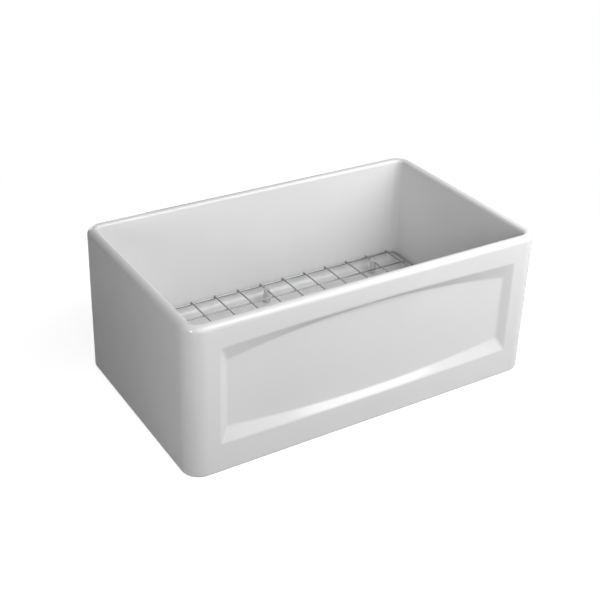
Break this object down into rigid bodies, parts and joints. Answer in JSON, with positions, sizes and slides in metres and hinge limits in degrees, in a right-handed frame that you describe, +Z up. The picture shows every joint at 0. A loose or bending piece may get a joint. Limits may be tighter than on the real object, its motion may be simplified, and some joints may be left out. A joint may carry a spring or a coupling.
{
  "type": "farmhouse apron front kitchen sink",
  "caption": "White fireclay apron front kitchen sink with one large basin, an arched recessed apron panel, a lift-out stainless wire rack and a basket strainer drain.",
  "frame": {"origin": "centre of the underside, on the surface that the sink stands on", "axes": "+X along the width, to the right seen from the front; +Y from the apron to the rear; +Z up"},
  "size_m": [0.762, 0.457, 0.305],
  "materials": {
    "fireclay": "glossy white glaze",
    "rack_wire": "polished stainless wire",
    "clear_rubber": "translucent moulded silicone rubber",
    "stainless": "satin drawn stainless",
    "black_rubber": "moulded rubber",
    "fibre": "pressed fibre",
    "zinc": "die-cast zinc",
    "brass": "turned brass"
  },
  "bodies": {
    "sink": {"flange_seal": "black_rubber", "friction_washer": "fibre", "lock_nut": "zinc", "sink_body": "fireclay", "strainer_crossbar": "stainless", "strainer_cup": "stainless", "under_gasket": "black_rubber"},
    "rack": {"rack_cross_wire_01": "rack_wire", "rack_cross_wire_02": "rack_wire", "rack_cross_wire_03": "rack_wire", "rack_cross_wire_04": "rack_wire", "rack_cross_wire_05": "rack_wire", "rack_cross_wire_06": "rack_wire", "rack_cross_wire_07_front": "rack_wire", "rack_cross_wire_07_rear": "rack_wire", "rack_cross_wire_08": "rack_wire", "rack_cross_wire_09": "rack_wire", "rack_cross_wire_10": "rack_wire", "rack_cross_wire_11": "rack_wire", "rack_cross_wire_12": "rack_wire", "rack_cross_wire_13": "rack_wire", "rack_drain_ring": "rack_wire", "rack_foot_left_front": "clear_rubber", "rack_foot_left_rear": "clear_rubber", "rack_foot_middle_front": "clear_rubber", "rack_foot_middle_rear": "clear_rubber", "rack_foot_right_front": "clear_rubber", "rack_foot_right_rear": "clear_rubber", "rack_long_wire_1": "rack_wire", "rack_long_wire_2": "rack_wire", "rack_long_wire_3_left": "rack_wire", "rack_long_wire_3_right": "rack_wire", "rack_long_wire_4_left": "rack_wire", "rack_long_wire_4_right": "rack_wire", "rack_long_wire_5": "rack_wire", "rack_long_wire_6": "rack_wire", "rack_rim_wire": "rack_wire"},
    "basket": {"basket_clip": "stainless", "basket_cup": "stainless", "basket_knob": "stainless", "basket_nut": "brass", "basket_post": "stainless", "basket_stopper": "black_rubber"}
  },
  "joints": [
    {"name": "rack_lift", "type": "slide", "parent": "sink", "child": "rack", "axis": [0, 0, 1], "range_m": [0, 0.26]},
    {"name": "basket_lift", "type": "slide", "parent": "sink", "child": "basket", "axis": [0, 0, 1], "range_m": [0, 0.3]}
  ]
}
